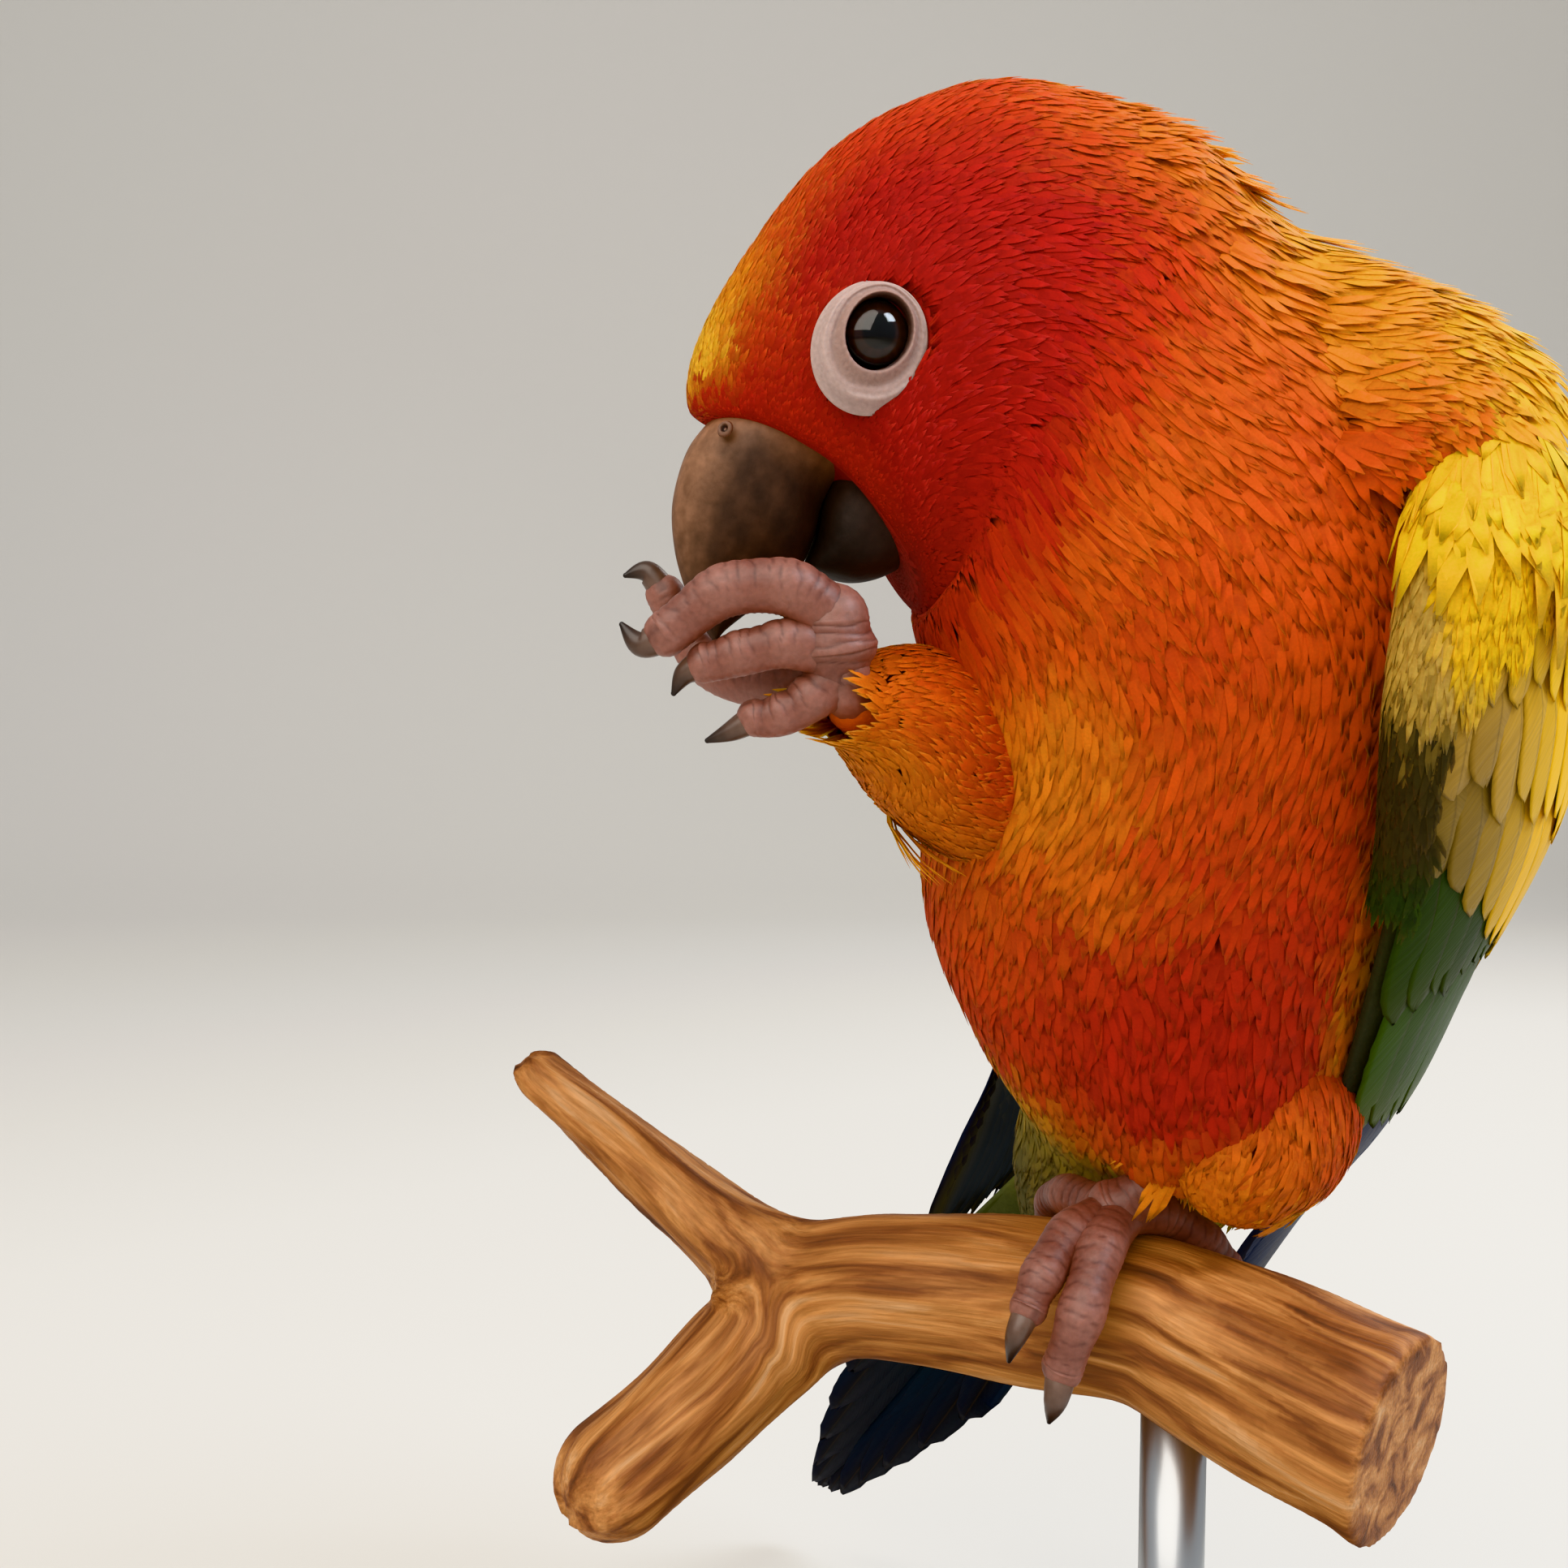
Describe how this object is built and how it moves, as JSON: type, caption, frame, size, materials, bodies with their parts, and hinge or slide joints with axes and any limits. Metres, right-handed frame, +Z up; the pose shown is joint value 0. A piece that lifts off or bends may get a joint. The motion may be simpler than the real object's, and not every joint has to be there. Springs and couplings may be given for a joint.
{
  "type": "sun conure",
  "caption": "Life-size still model of a small orange, yellow and green parrot standing on one foot on a forked branch, held by a rod on a round base.",
  "frame": {"origin": "centre of the underside of the stand's round base", "axes": "+Z up; the bird is seen from -Y, with its bill towards -X"},
  "size_m": [0.1398, 0.1438, 0.2369],
  "materials": {
    "head_feathers": "soft feathers, red face with an orange-yellow forehead",
    "neck_feathers": "soft feathers, orange running into yellow on the mantle",
    "body_feathers": "soft feathers, orange-red breast and belly, yellow-green vent",
    "bill_horn": "horn, grey-brown, paler along the ridge",
    "bill_horn_dark": "horn, dark grey",
    "eye": "wet and clear",
    "wing_feathers": "yellow coverts, green secondaries, blue-black primaries",
    "tail_feathers": "blue-black vanes with a slight sheen",
    "leg_feathers": "soft orange feathers",
    "foot_scales": "pink-brown scaly skin with dark claws",
    "branch_wood": "bare weathered wood with long grain",
    "stand_steel": "satin",
    "stand_plastic": "satin black"
  },
  "bodies": {
    "root": {"head": "head_feathers", "neck": "neck_feathers", "torso": "body_feathers", "bill_upper": "bill_horn", "bill_lower": "bill_horn_dark", "eye_left": "eye", "eye_right": "eye", "wing_left": "wing_feathers", "wing_right": "wing_feathers", "tail": "tail_feathers", "leg_left": "leg_feathers", "leg_right": "leg_feathers", "foot_left": "foot_scales", "foot_right": "foot_scales", "perch": "branch_wood", "stand_rod": "stand_steel", "stand_base": "stand_plastic"}
  },
  "joints": []
}
